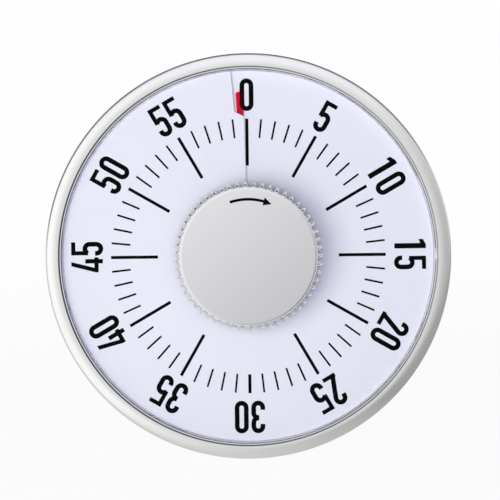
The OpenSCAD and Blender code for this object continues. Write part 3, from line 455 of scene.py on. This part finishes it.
def make_piece(name, points, faces, body, mat, stands_for=(), smooth_angle=40, caps=()):
    """A mesh object from points in the timer's own frame, riding on a body."""
    mesh = bpy.data.meshes.new(name)
    mesh.from_pydata(place(points).tolist(), [], faces.tolist() + [list(c) for c in caps])
    mesh.polygons.foreach_set("use_smooth", [True] * len(mesh.polygons))
    mesh.materials.append(mat)
    obj = bpy.data.objects.new(name, mesh)
    bpy.context.scene.collection.objects.link(obj)
    mesh.set_sharp_from_angle(angle=math.radians(smooth_angle))
    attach(obj, body)
    if stands_for:
        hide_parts(*stands_for)
    print(name, len(mesh.polygons), "faces")


def lathe(profile, turns):
    """Points of a profile (radius, height) carried round the z axis, one row per angle."""
    a = np.linspace(0, 2 * math.pi, turns, endpoint=False)[:, None]
    r, z = profile[:, 0][None], profile[:, 1][None]
    return np.stack([r * np.cos(a), r * np.sin(a), z + 0 * a], axis=-1).reshape(-1, 3)


def bend(centre, radii, start, end, steps):
    """A quarter-round or any elliptic stretch of a profile, from one angle to another."""
    a = np.radians(np.linspace(start, end, steps))
    return np.stack([centre[0] + radii[0] * np.cos(a), centre[1] + radii[1] * np.sin(a)], 1)


# %% [markdown]
# The bezel is turned from one ring, so its surface is a profile carried round the axis. The front
# is a flat quarter of an ellipse that falls from the inner rim to the widest radius, where it
# turns down quickly, so the steep outer edge shows as a thin dark line. The other edges are
# broken by small rounds.

# %% Bezel
BEZEL_W = 5.0
DOME = 2.2
EDGE_R = 1.0
FLANGE_T = 2.0
BORE_R = CASE_R - BEZEL_W
RIM_R = 0.25
RIM_W = 0.5
dome_in = BORE_R + RIM_W

bezel_profile = np.concatenate([
    bend((BORE_R + RIM_R, BEZEL_FRONT - RIM_R), (RIM_R, RIM_R), 180, 90, 7),
    bend((dome_in, BEZEL_FRONT - DOME), (CASE_R - dome_in, DOME), 90, 0, 40)[1:],
    bend((CASE_R - EDGE_R, BEZEL_BACK + EDGE_R), (EDGE_R, EDGE_R), 0, -90, 10),
    [[FLANGE_R, BEZEL_BACK], [FLANGE_R, BEZEL_BACK + FLANGE_T],
     [BORE_R, BEZEL_BACK + FLANGE_T]],
])
TURNS = 360
make_piece(
    "turned_bezel", lathe(bezel_profile, TURNS),
    grid_faces(TURNS, len(bezel_profile), True, True)[:, ::-1], "case", satin_bezel, ["bezel"])

# %% [markdown]
# The lens is held by a split ring of wire, sprung into the bore. It is an arc with a small gap:
# a rounded rectangle carried nearly all the way round, with both ends closed.

# %% Retaining ring
WIRE_ROUND = 0.18
RING_LOW, RING_HIGH = depth_of("lens_retaining_ring")
RING_IN, RING_OUT = radius_of("lens_retaining_ring")
ring_points = node_points("lens_retaining_ring")
half_gap = float(np.abs(np.arctan2(ring_points[:, 1], ring_points[:, 0])).min())
ring_in, ring_out = RING_IN + WIRE_ROUND, RING_OUT - WIRE_ROUND
ring_low, ring_high = RING_LOW + WIRE_ROUND, RING_HIGH - WIRE_ROUND
corners = [((ring_out, ring_low), 270), ((ring_out, ring_high), 0),
           ((ring_in, ring_high), 90), ((ring_in, ring_low), 180)]
ring_profile = np.concatenate([bend(centre, (WIRE_ROUND, WIRE_ROUND), start, start + 90, 4)
                               for centre, start in corners])
sweep = np.linspace(half_gap, 2 * math.pi - half_gap, TURNS)[:, None]
ring_grid = np.stack([ring_profile[:, 0] * np.cos(sweep), ring_profile[:, 0] * np.sin(sweep),
                      ring_profile[:, 1] + 0 * sweep], axis=-1).reshape(-1, 3)
ring_cols = len(ring_profile)
last_point = TURNS * ring_cols - 1
make_piece(
    "split_ring", ring_grid, grid_faces(TURNS, ring_cols, False, True), "case", bright_wire,
    ["lens_retaining_ring"],
    caps=[range(ring_cols), range(last_point, last_point - ring_cols, -1)])

# %% [markdown]
# The dial is one sheet with a single cut from rim to hub. One lip of the cut lies higher than the
# other, so the sheet rises evenly all the way round, like a very flat screw. Its height is the
# low lip's height plus the rise times the part of a turn from the slit. The slit itself is a
# function of the radius: it runs at one angle near the knob, steps sideways, and goes on to the
# rim at another angle.

# %% Screw surfaces
SHEET_T = 0.3
FILM_T = 0.2
RISE = DIAL_HIGH - DIAL_LOW - SHEET_T
SLIT_INNER, SLIT_OUTER = -1.2, -4.9
STEP_R, STEP_L = 51.75, 2.0
SHEET_TURNS = 721


def slit_angle(r):
    """Clockwise angle of the slit at each radius: a straight step between two values."""
    t = np.clip((STEP_R + STEP_L - r) / STEP_L, 0, 1)
    return SLIT_OUTER + (SLIT_INNER - SLIT_OUTER) * t


def screw_sheet(radii, start, end, lift, thick, turns):
    """Both faces of a screw sheet: the angle runs from the slit, the height rises with it."""
    radii = np.asarray(radii, float)
    end = np.broadcast_to(end, radii.shape)
    t = np.linspace(0, 1, turns)[:, None]
    from_slit = start + (end - start)[None] * t
    a = np.radians(slit_angle(radii)[None] + from_slit)
    z = DIAL_LOW + SHEET_T / 2 + RISE * from_slit / 360 + lift
    x, y = radii * np.sin(a), radii * np.cos(a)
    top = np.stack([x, y, z + thick / 2], axis=-1)
    low = np.stack([x, y, z - thick / 2], axis=-1)
    return np.concatenate([top, low[:, ::-1]], axis=1)


def sheet_piece(name, grid, body, mat, stands_for):
    """A closed sheet from the loop of points that each row makes, with its two cut ends."""
    turns, cols = grid.shape[:2]
    faces = grid_faces(turns, cols, False, True)
    strip = np.arange(cols // 2 - 1)
    first = np.stack([strip, strip + 1, cols - 2 - strip, cols - 1 - strip], axis=1)
    last = first[:, ::-1] + (turns - 1) * cols
    make_piece(name, grid.reshape(-1, 3), np.concatenate([faces, first, last]), body, mat,
               stands_for)


def sheet_radii(inner, outer, counts):
    """Radii from the inside to the outside, with close ones where the slit steps sideways."""
    stops = [inner, STEP_R, STEP_R + STEP_L, outer]
    parts = [np.linspace(a, b, count) for a, b, count in zip(stops, stops[1:], counts)]
    return np.concatenate([parts[0]] + [part[1:] for part in parts[1:]])


dial_radii = sheet_radii(DIAL_HOLE_R, DIAL_R, (14, 5, 7))
sheet_piece("dial_sheet", screw_sheet(dial_radii, 0, 360, 0, SHEET_T, SHEET_TURNS), "case",
            white_sheet, ["dial"])

# %% [markdown]
# The film is the same kind of screw surface, half a rise below the dial. Its leading edge lies
# just behind the slit, so turning it lets it climb out between the two lips.

# %% Film sheet
FILM_START = -357
FILM_END_INNER, FILM_END_OUTER = -0.5, -1.3
film_radii = sheet_radii(*radius_of("red_disc"), (10, 4, 6))
film_end = np.where(film_radii <= STEP_R, FILM_END_INNER, FILM_END_OUTER)
sheet_piece("countdown_film",
            screw_sheet(film_radii, FILM_START, film_end, RISE / 2, FILM_T, SHEET_TURNS),
            "countdown_disc", red_film, ["red_disc"])

# %% [markdown]
# The knob's skirt carries 55 upright ribs, parted by deep grooves through which the dial can be
# seen. Each rib ends in a chamfer beside the face plate and a steep shoulder outside it. The
# chamfer mirrors the room beside the timer and the shoulder mirrors the white dial, so the knob
# has a ring of fine dots round it. The knob's own sizes are read from the working solids.

# %% Knob sizes
KNOB_BACK, KNOB_TOP_BODY = depth_of("knob_body")
KNOB_R = radius_of("knob_body")[1]
FACE_BACK, FACE_FRONT = depth_of("knob_face")
FACE_R = radius_of("knob_face")[1]
KNURLS = 55
KNURL_FLOOR_R = FACE_R + 0.3
RIB_HALF = 0.85
CHAMFER_W, CHAMFER_H = 1.1, 1.2
SHOULDER_H = 1.6
SHOULDER_IN = 0.15
SKIRT_FOOT = 0.0
SKIRT_IN_R = KNURL_FLOOR_R - 1.0
HUB_R = 8.0
SHAFT_R = 2.0
WEB_T = 1.6
PLATE_GAP = 0.15
FOOT_BREAK = 0.2
print("knob radius", round(KNOB_R, 2), "plate radius", round(FACE_R, 2), "ribs", KNURLS)

# %% [markdown]
# The wall is one closed profile carried round the axis, drawn for a rib's middle. How much of it
# stands out of the groove's floor depends on the distance from the rib's middle: all of it on
# the rib, and at the flank it falls off quickly. Points lie closer together near the flank.

# %% Knob body
RIB_STEPS = np.array([0, 0.3, 0.55, 0.75, 0.88, 0.96, 1.0])
GROOVE_STEPS = np.array([0.45, 0.75])
RIB_POWER, FLANK_POWER = 3, 0.6


def rib_share(off):
    """How much of a rib stands at a distance from its middle: one less the third power of the
    distance over the half width, all to the power 0.6. That is a flat top with steep flanks."""
    return np.clip(1 - (np.abs(off) / RIB_HALF) ** RIB_POWER, 0, 1) ** FLANK_POWER


def knob_skirt():
    """The whole knob as one closed loop of points per angle, with ribs on the outer wall only."""
    half_pitch = math.pi * KNOB_R / KNURLS
    near = RIB_HALF * RIB_STEPS
    far = GROOVE_STEPS * (half_pitch - RIB_HALF) + RIB_HALF
    one_side = np.concatenate([near, far])
    off = np.concatenate([-one_side[::-1], one_side[1:]])
    a = (np.arange(KNURLS)[:, None] * 2 * half_pitch + off[None]).reshape(-1, 1) / KNOB_R
    share = rib_share(np.tile(off, KNURLS))[:, None]
    web = FACE_BACK - WEB_T
    edge = (KNURL_FLOOR_R + CHAMFER_W, KNOB_TOP_BODY - CHAMFER_H)
    shoulder = (KNOB_R - SHOULDER_IN, edge[1] - SHOULDER_H)
    chamfer = np.linspace((KNURL_FLOOR_R, KNOB_TOP_BODY), edge, 5)
    steep = np.linspace(edge, shoulder, 6)[1:]
    side = np.linspace((KNOB_R, shoulder[1] - 1.0), (KNOB_R, SKIRT_FOOT + FOOT_BREAK), 5)
    outer = np.concatenate([chamfer, steep, side, [[KNOB_R - FOOT_BREAK, SKIRT_FOOT]]])
    inner = np.array([[SKIRT_IN_R, SKIRT_FOOT], [SKIRT_IN_R, web - 1],
                      [SKIRT_IN_R - 1, web], [HUB_R, web], [HUB_R, KNOB_BACK],
                      [SHAFT_R, KNOB_BACK], [SHAFT_R, FACE_BACK],
                      [FACE_R + PLATE_GAP, FACE_BACK], [FACE_R + PLATE_GAP, KNOB_TOP_BODY]])
    r_out = KNURL_FLOOR_R + (outer[:, 0][None] - KNURL_FLOOR_R) * share
    r = np.concatenate([r_out, inner[:, 0][None] + 0 * a], axis=1)
    z = np.concatenate([outer[:, 1], inner[:, 1]])[None] + 0 * a
    points = np.stack([r * np.cos(a), r * np.sin(a), z], axis=-1)
    return points, grid_faces(points.shape[0], points.shape[1], True, True)[:, ::-1]


knob_points, knob_faces = knob_skirt()
make_piece("knurled_knob", knob_points.reshape(-1, 3), knob_faces, "rotor", satin_knob,
           ["knob_body"], smooth_angle=50)

# %% [markdown]
# The face plate is faced on a lathe and let into the knob. Its rim has a narrow bevel that
# catches the light as a thin bright line, so the bevel is real geometry.

# %% Face plate
BEVEL_W, BEVEL_H = 0.4, 0.15
EDGE_W, EDGE_H, EDGE_DROP = 0.25, 0.3, 0.28
FLAT_IN = 1.5
soft_edge = bend((FACE_R - EDGE_W, FACE_FRONT - BEVEL_H - EDGE_DROP), (EDGE_W, EDGE_H), 0, 68, 7)
plate_profile = np.concatenate([
    [[0.0, FACE_BACK], [FACE_R, FACE_BACK]], soft_edge,
    [soft_edge[-1] + (-BEVEL_W, BEVEL_H), [FACE_R - FLAT_IN, FACE_FRONT],
     [0.0, FACE_FRONT]],
])
rim = plate_profile[1:-1]
plate_points = np.concatenate([lathe(rim, TURNS), [[0, 0, FACE_BACK], [0, 0, FACE_FRONT]]])
turn = np.arange(TURNS)
after = (turn + 1) % TURNS
cols = len(rim)
under = np.stack([turn * cols, np.full(TURNS, TURNS * cols), after * cols], axis=1)
over = np.stack([turn * cols + cols - 1, after * cols + cols - 1,
                 np.full(TURNS, TURNS * cols + 1)], axis=1)
make_piece("face_plate", plate_points, grid_faces(TURNS, cols, True, False), "rotor",
           face_plate, ["knob_face"], smooth_angle=15, caps=under.tolist() + over.tolist())

# %% [markdown]
# The other pieces keep their working solids. Those come as loose triangles, which show every
# facet, so each gets a weld that joins them, smooth faces, and a split along real edges.

# %% Smooth the kept solids
WELD_M = 0.000002
SHARP_DEG = 32
replaced = {"bezel", "lens_retaining_ring", "dial", "red_disc", "knob_body", "knob_face"}
for name, obj in NODES.items():
    if name in replaced:
        continue
    obj.data.polygons.foreach_set("use_smooth", [True] * len(obj.data.polygons))
    weld = obj.modifiers.new("weld", "WELD")
    weld.merge_threshold = WELD_M
    split = obj.modifiers.new("edges", "EDGE_SPLIT")
    split.split_angle = math.radians(SHARP_DEG)
print("smoothed", len(NODES) - len(replaced), "kept solids")

# %% [markdown]
# The timer stands on a plain white floor. The camera sees it nearly at full white, so the
# background stays white and it still takes a soft shadow. To metal the floor is a glow with
# painted light and shade: grey in the middle and close to the timer, where the timer shades it,
# darker on the right, and white further in front on the left. Lengths are in metres.

# %% Floor material
TABLE_LEFT, TABLE_MID, TABLE_RIGHT = 1.12, 0.71, 0.4
TABLE_NEAR, TABLE_FAR = 0.015, 0.035
TABLE_REACH = 0.085
GLOW_NEAR, GLOW_FAR = 0.94, 0.99
GLOW_START, GLOW_END = 0.1, 0.4


def white_floor(name):
    """White to the camera, but for some matt white near the timer; to metal, a glow with painted
    light and shade.
    """
    mat, tree, out = new_material(name)
    path = add(tree, "ShaderNodeLightPath")
    seen = add(tree, "ShaderNodeMath", {"operation": "MAXIMUM"},
               i0=path.outputs["Is Camera Ray"], i1=path.outputs["Is Transmission Ray"])
    spot = add(tree, "ShaderNodeTexCoord").outputs["Object"]
    away = add(tree, "ShaderNodeVectorMath", {"operation": "LENGTH"}, i0=spot)
    share = add(tree, "ShaderNodeMapRange", {"interpolation_type": "SMOOTHSTEP"},
                Value=away.outputs["Value"], i1=GLOW_START, i2=GLOW_END, i3=GLOW_NEAR,
                i4=GLOW_FAR)
    fac = add(tree, "ShaderNodeMath", {"operation": "MULTIPLY"}, i0=seen.outputs[0],
              i1=share.outputs["Result"])
    matt = add(tree, "ShaderNodeBsdfDiffuse", Color=(0.8, 0.8, 0.8, 1))
    glow = add(tree, "ShaderNodeEmission", Color=(1, 1, 1, 1), Strength=1.0)
    plain = add(tree, "ShaderNodeMixShader", i0=fac.outputs[0], i1=matt.outputs[0],
                i2=glow.outputs[0])
    # Painted light and shade for metal to mirror: the glow is graded across the floor.
    at = add(tree, "ShaderNodeSeparateXYZ", Vector=spot)
    right = add(tree, "ShaderNodeMapRange", Value=at.outputs["X"], i1=0.0,
                i2=TABLE_REACH, i3=TABLE_MID, i4=TABLE_RIGHT)
    left = add(tree, "ShaderNodeMapRange", Value=at.outputs["X"], i1=0.0,
               i2=-TABLE_REACH, i3=0.0, i4=1.0)
    front = add(tree, "ShaderNodeMapRange", Value=at.outputs["Y"],
                i1=float(ORIGIN[1]) - TABLE_NEAR, i2=float(ORIGIN[1]) - TABLE_FAR, i3=0.0,
                i4=TABLE_LEFT - TABLE_MID)
    graded = add(tree, "ShaderNodeMath", {"operation": "MULTIPLY_ADD"},
                 i0=left.outputs["Result"], i1=front.outputs["Result"],
                 i2=right.outputs["Result"])
    table = add(tree, "ShaderNodeEmission", Color=(1, 1, 1, 1), Strength=graded.outputs[0])
    both = add(tree, "ShaderNodeMixShader", i0=path.outputs["Is Glossy Ray"],
               i1=plain.outputs[0], i2=table.outputs[0])
    tree.links.new(both.outputs[0], out.inputs["Surface"])
    return mat


floor_white = white_floor("white_floor")
print(floor_white.name)

# %% [markdown]
# The floor is one large square, so that its edge lies far outside the view.

# %% Floor
FLOOR_SIZE = 6.0
floor_mesh = bpy.data.meshes.new("floor")
half = FLOOR_SIZE / 2
floor_mesh.from_pydata([(-half, -half, 0), (half, -half, 0), (half, half, 0), (-half, half, 0)],
                       [], [(0, 1, 2, 3)])
floor_mesh.materials.append(floor_white)
floor = bpy.data.objects.new("floor", floor_mesh)
bpy.context.scene.collection.objects.link(floor)
print("floor", FLOOR_SIZE, "m wide")

# %% [markdown]
# The sky is put together from soft-edged patches. Each patch is measured by how far a direction
# points along an axis of the timer's own frame, so the light leans back with the timer.

# %% Sky helpers
scene = bpy.context.scene
world = bpy.data.worlds.new("studio")
scene.world = world
world.use_nodes = True
sky = world.node_tree
sky.nodes.clear()
direction = add(sky, "ShaderNodeTexCoord").outputs["Generated"]


def towards(axis):
    """How far a direction of the sky points along an axis: 1 along it, -1 against it."""
    return add(sky, "ShaderNodeVectorMath", {"operation": "DOT_PRODUCT"}, i0=direction,
               i1=tuple(float(v) for v in axis)).outputs["Value"]


def patch(axis, start, full, amount):
    """A soft-edged patch of the sky round an axis, worth an amount in its middle."""
    return add(sky, "ShaderNodeMapRange", {"interpolation_type": "SMOOTHSTEP"},
               Value=towards(axis), i1=start, i2=full, i3=0.0, i4=amount).outputs["Result"]


print("sky axes", AXIS_Y.round(3), AXIS_Z.round(3))

# %% [markdown]
# Metal needs something to mirror. It sees a light grey room with a white card on the left and
# one above, a grey card on the right, and a dark cloth above the set, so steep upper edges show
# as thin dark lines. The upper part of the room is a little blue. A card is given by its
# direction in the timer's own frame, how far along it a direction has to point for the card to
# begin and to be full, and the light that it adds.

# %% What metal mirrors
MIRROR_LEVEL = 0.81
CARDS = [((-0.87, 0.03, 0.49), 0.6, 0.97, 0.36), ((0.0, 0.71, 0.71), 0.74, 0.98, 0.24),
         ((0.8, -0.33, 0.5), 0.5, 0.95, -0.27)]
CLOTH_LEVEL = 0.2
CLOTH_SIDE = 0.98 * AXIS_Y - 0.2 * AXIS_X
TONE_LOW, TONE_HIGH = (1, 1, 1.01, 1), (0.98, 0.985, 1.06, 1)
level = MIRROR_LEVEL
for (x, y, z), start, full, amount in CARDS:
    level = add(sky, "ShaderNodeMath", {"operation": "ADD"}, i0=level,
                i1=patch(x * AXIS_X + y * AXIS_Y + z * AXIS_Z, start, full, amount)).outputs[0]
cloth = add(sky, "ShaderNodeMath", {"operation": "MULTIPLY_ADD"},
            i0=patch(-AXIS_Z, -0.24, -0.02, CLOTH_LEVEL - 1),
            i1=patch(CLOTH_SIDE, 0.1, 0.45, 1.0), i2=1.0)
mirror_level = add(sky, "ShaderNodeMath", {"operation": "MULTIPLY"}, i0=level,
                   i1=cloth.outputs[0])
mirror_tone = add(sky, "ShaderNodeMix", {"data_type": "RGBA"}, i0=patch(AXIS_Y, 0.1, 0.8, 1.0),
                  i6=TONE_LOW, i7=TONE_HIGH)
mirrored_room = add(sky, "ShaderNodeBackground", Color=mirror_tone.outputs[2],
                    Strength=mirror_level.outputs[0])
print("mirrored patches", len(CARDS), "and a cloth")

# %% [markdown]
# Matt surfaces are lit by a slightly blue room. It is dim on the dial's side, so the knob takes
# little light from the dial round it, and brighter behind, for the case. A narrow lobe along the
# timer's axis adds light from straight in front and straight behind. The camera itself sees
# plain white, which is the background.

# %% The room
ROOM_FRONT, ROOM_BACK, ROOM_LOBE = 0.16, 0.62, 0.5
LOBE_POWER = 6.0
ROOM_COLOUR = (0.98, 1.0, 1.18, 1)
straight = add(sky, "ShaderNodeMath", {"operation": "ABSOLUTE"}, i0=towards(AXIS_Z))
lobe = add(sky, "ShaderNodeMath", {"operation": "POWER"}, i0=straight.outputs[0],
           i1=LOBE_POWER)
side = add(sky, "ShaderNodeMapRange", {"interpolation_type": "SMOOTHSTEP"},
           Value=towards(AXIS_Z), i1=-0.2, i2=0.05, i3=ROOM_BACK, i4=ROOM_FRONT)
room_level = add(sky, "ShaderNodeMath", {"operation": "MULTIPLY_ADD"}, i0=lobe.outputs[0],
                 i1=ROOM_LOBE, i2=side.outputs["Result"])
room = add(sky, "ShaderNodeBackground", Color=ROOM_COLOUR, Strength=room_level.outputs[0])
plain = add(sky, "ShaderNodeBackground", Color=(1, 1, 1, 1), Strength=1.0)
path = add(sky, "ShaderNodeLightPath")
unseen = add(sky, "ShaderNodeMixShader", i0=path.outputs["Is Glossy Ray"], i1=room.outputs[0],
             i2=mirrored_room.outputs[0])
shown = add(sky, "ShaderNodeMixShader", i0=path.outputs["Is Camera Ray"], i1=unseen.outputs[0],
            i2=plain.outputs[0])
sky_out = sky.nodes.new("ShaderNodeOutputWorld")
sky.links.new(shown.outputs[0], sky_out.inputs["Surface"])
print("room front", ROOM_FRONT, "back", ROOM_BACK)

# %% [markdown]
# The dial is lit by a soft lamp straight in front, which reaches into narrow places, and by one
# left of it and a little lower, which gives the knob its soft shadow at the upper right. The
# front one is a little cool and the left one a little warm. Metal mirrors the cards and not the
# lamps.

# %% Lamps


def soft_lamp(name, at_mm, size_mm, watts, colour):
    """A square area lamp in the timer's own frame, turned to face the dial's middle."""
    data = bpy.data.lights.new(name, "AREA")
    data.shape = "SQUARE"
    data.size = size_mm * MM
    data.energy = watts
    data.color = colour
    lamp = bpy.data.objects.new(name, data)
    spot = place([at_mm])[0]
    away = spot - ORIGIN
    away /= np.linalg.norm(away)
    side = np.cross(AXIS_Y, away)
    side /= np.linalg.norm(side)
    turn3 = Matrix(np.stack([side, np.cross(away, side), away], axis=1).tolist()).to_4x4()
    lamp.matrix_world = Matrix.Translation(spot.tolist()) @ turn3
    lamp.visible_glossy = False
    scene.collection.objects.link(lamp)
    print(name, watts, "W")


soft_lamp("left_softbox", at_mm=(-230, -45, 650), size_mm=329, watts=1.94,
          colour=(1.0, 1.0, 0.88))
soft_lamp("front_softbox", at_mm=(0, 0, 1500), size_mm=300, watts=6.1,
          colour=(0.98, 1.0, 1.14))

# %% [markdown]
# The camera looks nearly straight along the dial's axis through a long lens, which keeps circles
# round. Its distance follows from the scale: one millimetre on the bezel's rim is so many pixels
# of a 500-pixel frame. The dial sits a little off the middle and is turned by less than a degree.

# %% Camera
LENS_MM, SENSOR_MM, FRAME_PX = 200.0, 36.0, 500
RIM_PX, RIM_MM = 202.8, 75.0
PX_PER_MM = RIM_PX / RIM_MM
CENTRE_PX = (248.3, 256.0)
ROLL_DEG = 0.68
OFF_RIGHT_DEG, OFF_UP_DEG = 0.1, 0.4
rim_z = BEZEL_FRONT - DOME
distance = FRAME_PX * LENS_MM / SENSOR_MM / PX_PER_MM
aim = np.array([(FRAME_PX / 2 - CENTRE_PX[0]) / PX_PER_MM,
                (CENTRE_PX[1] - FRAME_PX / 2) / PX_PER_MM, rim_z])
look_back = np.array([math.sin(math.radians(OFF_RIGHT_DEG)), math.sin(math.radians(OFF_UP_DEG)),
                      1.0])
look_back /= np.linalg.norm(look_back)
eye = place([aim + look_back * distance])[0]
back = look_back[0] * AXIS_X + look_back[1] * AXIS_Y + look_back[2] * AXIS_Z
roll = math.radians(ROLL_DEG)
up = math.cos(roll) * AXIS_Y + math.sin(roll) * AXIS_X
right = np.cross(up, back)
right /= np.linalg.norm(right)
camera_data = bpy.data.cameras.new("camera")
camera_data.lens = LENS_MM
camera_data.sensor_width = SENSOR_MM
camera_data.clip_start = 0.05
camera_data.clip_end = 20
camera = bpy.data.objects.new("camera", camera_data)
camera.matrix_world = Matrix.Translation(eye.tolist()) @ Matrix(
    np.stack([right, np.cross(back, right), back], axis=1).tolist()).to_4x4()
scene.collection.objects.link(camera)
scene.camera = camera
scene.view_settings.view_transform = "Standard"
print("camera distance", round(distance, 1), "mm")

# %% [markdown]
# The last step brings the scene up to date.

# %% Finish
bpy.context.view_layer.update()
